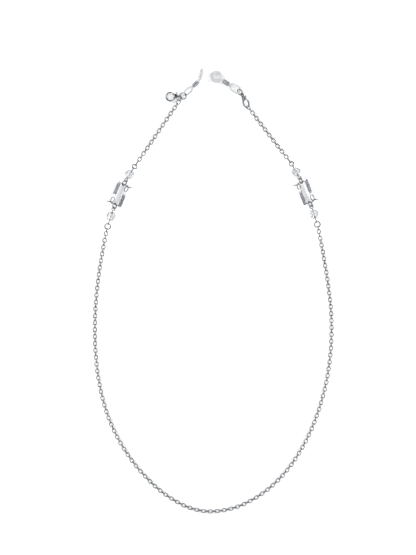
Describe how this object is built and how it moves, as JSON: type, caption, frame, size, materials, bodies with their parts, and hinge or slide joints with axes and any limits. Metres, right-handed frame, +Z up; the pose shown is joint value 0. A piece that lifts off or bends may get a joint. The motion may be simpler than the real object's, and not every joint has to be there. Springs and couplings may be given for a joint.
{
  "type": "eyeglasses chain strap",
  "caption": "Silver-plated cable chain that hangs spectacles round the neck, with crystal beads, twin-leaf links, lobster clasps and silicone temple loops.",
  "frame": {"origin": "on the table, under the middle of the laid-out strap's outline", "axes": "+Y from the bottom of the chain loop towards the two silicone ends, +Z up from the table, +X to the right with the ends away from you"},
  "size_m": [0.1566, 0.2896, 0.0086],
  "materials": {
    "silver_plate": "polished silver-coloured plate",
    "crystal": "clear cut crystal",
    "silicone": "milky translucent",
    "spring_steel": "drawn wire"
  },
  "bodies": {
    "middle_chain": {"middle_chain": "silver_plate"},
    "left_chain_1": {"left_chain_1": "silver_plate"},
    "left_chain_2": {"left_chain_2": "silver_plate"},
    "left_chain_3": {"left_chain_3": "silver_plate"},
    "left_chain_4": {"left_chain_4": "silver_plate"},
    "left_chain_5": {"left_chain_5": "silver_plate"},
    "left_chain_6": {"left_chain_6": "silver_plate"},
    "left_chain_7": {"left_chain_7": "silver_plate"},
    "left_chain_8": {"left_chain_8": "silver_plate"},
    "left_chain_9": {"left_chain_9": "silver_plate"},
    "left_chain_ring": {"left_chain_ring": "silver_plate"},
    "left_lower_pin": {"left_lower_pin": "silver_plate"},
    "left_lower_bead": {"left_lower_bead": "crystal"},
    "left_lower_ring": {"left_lower_ring": "silver_plate"},
    "left_leaf_link": {"left_leaf_link": "silver_plate"},
    "left_upper_ring": {"left_upper_ring": "silver_plate"},
    "left_upper_pin": {"left_upper_pin": "silver_plate"},
    "left_upper_bead": {"left_upper_bead": "crystal"},
    "left_bead_ring": {"left_bead_ring": "silver_plate"},
    "left_upper_chain_1": {"left_upper_chain_1": "silver_plate"},
    "left_upper_chain_2": {"left_upper_chain_2": "silver_plate"},
    "left_end_ring": {"left_end_ring": "silver_plate"},
    "left_clasp_body": {"left_clasp_body": "silver_plate", "left_clasp_pin": "silver_plate", "left_clasp_spring": "spring_steel"},
    "left_clasp_trigger": {"left_clasp_trigger": "silver_plate"},
    "left_silicone_loop": {"left_silicone_loop": "silicone"},
    "left_coil_sleeve": {"left_coil_sleeve": "silver_plate"},
    "right_chain_1": {"right_chain_1": "silver_plate"},
    "right_chain_2": {"right_chain_2": "silver_plate"},
    "right_chain_3": {"right_chain_3": "silver_plate"},
    "right_chain_4": {"right_chain_4": "silver_plate"},
    "right_chain_5": {"right_chain_5": "silver_plate"},
    "right_chain_6": {"right_chain_6": "silver_plate"},
    "right_chain_7": {"right_chain_7": "silver_plate"},
    "right_chain_8": {"right_chain_8": "silver_plate"},
    "right_chain_9": {"right_chain_9": "silver_plate"},
    "right_chain_ring": {"right_chain_ring": "silver_plate"},
    "right_lower_pin": {"right_lower_pin": "silver_plate"},
    "right_lower_bead": {"right_lower_bead": "crystal"},
    "right_lower_ring": {"right_lower_ring": "silver_plate"},
    "right_leaf_link": {"right_leaf_link": "silver_plate"},
    "right_upper_ring": {"right_upper_ring": "silver_plate"},
    "right_upper_pin": {"right_upper_pin": "silver_plate"},
    "right_upper_bead": {"right_upper_bead": "crystal"},
    "right_bead_ring": {"right_bead_ring": "silver_plate"},
    "right_upper_chain_1": {"right_upper_chain_1": "silver_plate"},
    "right_upper_chain_2": {"right_upper_chain_2": "silver_plate"},
    "right_end_ring": {"right_end_ring": "silver_plate"},
    "right_clasp_body": {"right_clasp_body": "silver_plate", "right_clasp_pin": "silver_plate", "right_clasp_spring": "spring_steel"},
    "right_clasp_trigger": {"right_clasp_trigger": "silver_plate"},
    "right_silicone_loop": {"right_silicone_loop": "silicone"},
    "right_coil_sleeve": {"right_coil_sleeve": "silver_plate"}
  },
  "joints": [
    {"name": "left_clasp_trigger_press", "type": "hinge", "parent": "left_clasp_body", "child": "left_clasp_trigger", "pos_m": [-0.02424, 0.12766, 0.00181], "axis": [-0.1563, -0.0055, 0.9877], "range_deg": [0, 22], "stiffness_Nm_per_rad": 0.0004},
    {"name": "right_clasp_trigger_press", "type": "hinge", "parent": "right_clasp_body", "child": "right_clasp_trigger", "pos_m": [0.02014, 0.12579, 0.00351], "axis": [0.7424, 0.3462, -0.5736], "range_deg": [0, 22], "stiffness_Nm_per_rad": 0.0004},
    {"name": "left_clasp_swing", "type": "hinge", "parent": "left_end_ring", "child": "left_clasp_body", "pos_m": [-0.0216, 0.127, 0.00219], "axis": [0.0349, -0.9994, 0], "range_deg": [-30, 30]},
    {"name": "right_coil_sleeve_slide", "type": "slide", "parent": "right_silicone_loop", "child": "right_coil_sleeve", "axis": [-0.8375, 0.5439, -0.0523], "range_m": [-0.0004, 0.0004]},
    {"name": "left_coil_sleeve_slide", "type": "slide", "parent": "left_silicone_loop", "child": "left_coil_sleeve", "axis": [0.7359, 0.6626, 0.1392], "range_m": [-0.0004, 0.0004]},
    {"name": "right_silicone_loop_fold", "type": "hinge", "parent": "right_end_ring", "child": "right_silicone_loop", "pos_m": [0.01594, 0.131, 0.00239], "axis": [-0.3334, -0.4804, -0.8112], "range_deg": [-15, 10]},
    {"name": "left_silicone_loop_fold", "type": "hinge", "parent": "left_end_ring", "child": "left_silicone_loop", "pos_m": [-0.01817, 0.1286, 0.00219], "axis": [-0.7431, 0.6691, 0], "range_deg": [-15, 15]},
    {"name": "right_end_ring_fold", "type": "hinge", "parent": "right_clasp_body", "child": "right_end_ring", "pos_m": [0.01825, 0.12882, 0.0029], "axis": [0.7424, 0.3462, -0.5736], "range_deg": [-12, 12]},
    {"name": "left_end_ring_fold", "type": "hinge", "parent": "left_upper_chain_2", "child": "left_end_ring", "pos_m": [-0.02092, 0.12555, 0.00219], "axis": [0.7431, -0.6691, 0], "range_deg": [-40, 40]},
    {"name": "right_clasp_swing", "type": "hinge", "parent": "right_upper_chain_2", "child": "right_clasp_body", "pos_m": [0.02191, 0.12069, 0.00299], "axis": [-0.7891, -0.6143, 0], "range_deg": [-15, 5]},
    {"name": "left_upper_chain_2_fold", "type": "hinge", "parent": "left_upper_chain_1", "child": "left_upper_chain_2", "pos_m": [-0.03607, 0.10336, 0.00141], "axis": [-0.829, 0.5592, 0], "range_deg": [-60, 60]},
    {"name": "right_upper_chain_2_fold", "type": "hinge", "parent": "right_upper_chain_1", "child": "right_upper_chain_2", "pos_m": [0.03458, 0.10418, 0.00141], "axis": [-0.7976, -0.6032, 0], "range_deg": [-60, 60]},
    {"name": "left_upper_chain_1_bend", "type": "hinge", "parent": "left_bead_ring", "child": "left_upper_chain_1", "pos_m": [-0.05067, 0.0817, 0.00294], "axis": [0, 0, 1], "range_deg": [0, 30]},
    {"name": "right_upper_chain_1_bend", "type": "hinge", "parent": "right_bead_ring", "child": "right_upper_chain_1", "pos_m": [0.05049, 0.08347, 0.00294], "axis": [0, 0, -1], "range_deg": [0, 30]},
    {"name": "left_bead_ring_fold", "type": "hinge", "parent": "left_upper_pin", "child": "left_bead_ring", "pos_m": [-0.0518, 0.07995, 0.00315], "axis": [-0.8387, 0.5446, 0], "range_deg": [-40, 40]},
    {"name": "right_bead_ring_fold", "type": "hinge", "parent": "right_upper_pin", "child": "right_bead_ring", "pos_m": [0.05157, 0.08167, 0.00315], "axis": [-0.848, -0.5299, 0], "range_deg": [-40, 40]},
    {"name": "left_upper_bead_spin", "type": "hinge", "parent": "left_upper_pin", "child": "left_upper_bead", "pos_m": [-0.05424, 0.07604, 0.00311], "axis": [0.5299, 0.848, 0], "continuous": true},
    {"name": "right_upper_bead_spin", "type": "hinge", "parent": "right_upper_pin", "child": "right_upper_bead", "pos_m": [0.05378, 0.07764, 0.00311], "axis": [-0.4848, 0.8746, 0], "continuous": true},
    {"name": "left_upper_pin_fold", "type": "hinge", "parent": "left_upper_ring", "child": "left_upper_pin", "pos_m": [-0.0571, 0.07146, 0.00311], "axis": [0.848, -0.5299, 0], "range_deg": [-30, 30]},
    {"name": "right_upper_pin_fold", "type": "hinge", "parent": "right_upper_ring", "child": "right_upper_pin", "pos_m": [0.0564, 0.07292, 0.00311], "axis": [0.8746, 0.4848, 0], "range_deg": [-30, 30]},
    {"name": "left_upper_ring_fold", "type": "hinge", "parent": "left_leaf_link", "child": "left_upper_ring", "pos_m": [-0.05811, 0.06979, 0.00242], "axis": [0.9205, -0.3907, 0], "range_deg": [-30, 30]},
    {"name": "right_upper_ring_fold", "type": "hinge", "parent": "right_leaf_link", "child": "right_upper_ring", "pos_m": [0.0573, 0.07119, 0.00242], "axis": [0.9272, 0.3746, 0], "range_deg": [-30, 30]},
    {"name": "left_leaf_link_fold", "type": "hinge", "parent": "left_lower_ring", "child": "left_leaf_link", "pos_m": [-0.06374, 0.05653, 0.00242], "axis": [-0.9205, 0.3907, 0], "range_deg": [-30, 30]},
    {"name": "right_leaf_link_fold", "type": "hinge", "parent": "right_lower_ring", "child": "right_leaf_link", "pos_m": [0.0627, 0.05784, 0.00242], "axis": [-0.9272, -0.3746, 0], "range_deg": [-30, 30]},
    {"name": "left_lower_ring_fold", "type": "hinge", "parent": "left_lower_pin", "child": "left_lower_ring", "pos_m": [-0.06434, 0.05468, 0.00311], "axis": [-0.9455, 0.3256, 0], "range_deg": [-30, 30]},
    {"name": "right_lower_ring_fold", "type": "hinge", "parent": "right_lower_pin", "child": "right_lower_ring", "pos_m": [0.06336, 0.056, 0.00311], "axis": [-0.9455, -0.3256, 0], "range_deg": [-30, 30]},
    {"name": "left_lower_bead_spin", "type": "hinge", "parent": "left_lower_pin", "child": "left_lower_bead", "pos_m": [-0.0663, 0.049, 0.00311], "axis": [0.3256, 0.9455, 0], "continuous": true},
    {"name": "right_lower_bead_spin", "type": "hinge", "parent": "right_lower_pin", "child": "right_lower_bead", "pos_m": [0.06531, 0.05032, 0.00311], "axis": [-0.3256, 0.9455, 0], "continuous": true},
    {"name": "left_lower_pin_swing", "type": "hinge", "parent": "left_chain_ring", "child": "left_lower_pin", "pos_m": [-0.06825, 0.04333, 0.00311], "axis": [0, 0, 1], "range_deg": [0, 25]},
    {"name": "right_lower_pin_swing", "type": "hinge", "parent": "right_chain_ring", "child": "right_lower_pin", "pos_m": [0.06726, 0.04465, 0.00311], "axis": [0, 0, -1], "range_deg": [0, 25]},
    {"name": "left_chain_ring_fold", "type": "hinge", "parent": "left_chain_9", "child": "left_chain_ring", "pos_m": [-0.06897, 0.04054, 0.00277], "axis": [-0.9659, 0.2588, 0], "range_deg": [-40, 40]},
    {"name": "right_chain_ring_fold", "type": "hinge", "parent": "right_chain_9", "child": "right_chain_ring", "pos_m": [0.06804, 0.04188, 0.00277], "axis": [-0.9613, -0.2756, 0], "range_deg": [-40, 40]},
    {"name": "left_chain_1_fold", "type": "hinge", "parent": "middle_chain", "child": "left_chain_1", "pos_m": [-0.01789, -0.13951, 0.0014], "axis": [-0.4168, -0.909, 0], "range_deg": [-60, 60]},
    {"name": "left_chain_2_bend", "type": "hinge", "parent": "left_chain_1", "child": "left_chain_2", "pos_m": [-0.03729, -0.12695, 0.0014], "axis": [0, 0, 1], "range_deg": [0, 30]},
    {"name": "left_chain_3_fold", "type": "hinge", "parent": "left_chain_2", "child": "left_chain_3", "pos_m": [-0.05204, -0.11093, 0.0014], "axis": [0.8044, 0.5941, 0], "range_deg": [-60, 60]},
    {"name": "left_chain_4_bend", "type": "hinge", "parent": "left_chain_3", "child": "left_chain_4", "pos_m": [-0.0641, -0.09116, 0.0014], "axis": [0, 0, 1], "range_deg": [0, 30]},
    {"name": "left_chain_5_fold", "type": "hinge", "parent": "left_chain_4", "child": "left_chain_5", "pos_m": [-0.07161, -0.07073, 0.0014], "axis": [-0.9703, -0.2419, 0], "range_deg": [-60, 60]},
    {"name": "left_chain_6_bend", "type": "hinge", "parent": "left_chain_5", "child": "left_chain_6", "pos_m": [-0.07576, -0.04793, 0.0014], "axis": [0, 0, 1], "range_deg": [0, 30]},
    {"name": "left_chain_7_fold", "type": "hinge", "parent": "left_chain_6", "child": "left_chain_7", "pos_m": [-0.07695, -0.02617, 0.0014], "axis": [1, -0.0036, 0], "range_deg": [-60, 60]},
    {"name": "left_chain_8_bend", "type": "hinge", "parent": "left_chain_7", "child": "left_chain_8", "pos_m": [-0.07594, -0.003, 0.0014], "axis": [0, 0, 1], "range_deg": [0, 30]},
    {"name": "left_chain_9_fold", "type": "hinge", "parent": "left_chain_8", "child": "left_chain_9", "pos_m": [-0.07325, 0.01863, 0.0014], "axis": [-0.9868, 0.1621, 0], "range_deg": [-60, 60]},
    {"name": "right_chain_1_fold", "type": "hinge", "parent": "middle_chain", "child": "right_chain_1", "pos_m": [0.01867, -0.13871, 0.0014], "axis": [-0.4087, 0.9127, 0], "range_deg": [-60, 60]},
    {"name": "right_chain_2_bend", "type": "hinge", "parent": "right_chain_1", "child": "right_chain_2", "pos_m": [0.03818, -0.12634, 0.0014], "axis": [0, 0, -1], "range_deg": [0, 30]},
    {"name": "right_chain_3_fold", "type": "hinge", "parent": "right_chain_2", "child": "right_chain_3", "pos_m": [0.05257, -0.11004, 0.0014], "axis": [0.8332, -0.553, 0], "range_deg": [-60, 60]},
    {"name": "right_chain_4_bend", "type": "hinge", "parent": "right_chain_3", "child": "right_chain_4", "pos_m": [0.06375, -0.08974, 0.0014], "axis": [0, 0, -1], "range_deg": [0, 30]},
    {"name": "right_chain_5_fold", "type": "hinge", "parent": "right_chain_4", "child": "right_chain_5", "pos_m": [0.07102, -0.06921, 0.0014], "axis": [-0.9659, 0.2588, 0], "range_deg": [-60, 60]},
    {"name": "right_chain_6_bend", "type": "hinge", "parent": "right_chain_5", "child": "right_chain_6", "pos_m": [0.07557, -0.04648, 0.0014], "axis": [0, 0, -1], "range_deg": [0, 30]},
    {"name": "right_chain_7_fold", "type": "hinge", "parent": "right_chain_6", "child": "right_chain_7", "pos_m": [0.07695, -0.02474, 0.0014], "axis": [1, 0.005, 0], "range_deg": [-60, 60]},
    {"name": "right_chain_8_bend", "type": "hinge", "parent": "right_chain_7", "child": "right_chain_8", "pos_m": [0.07554, -0.0016, 0.0014], "axis": [0, 0, -1], "range_deg": [0, 30]},
    {"name": "right_chain_9_fold", "type": "hinge", "parent": "right_chain_8", "child": "right_chain_9", "pos_m": [0.07229, 0.01996, 0.0014], "axis": [-0.9843, -0.1764, 0], "range_deg": [-60, 60]}
  ]
}
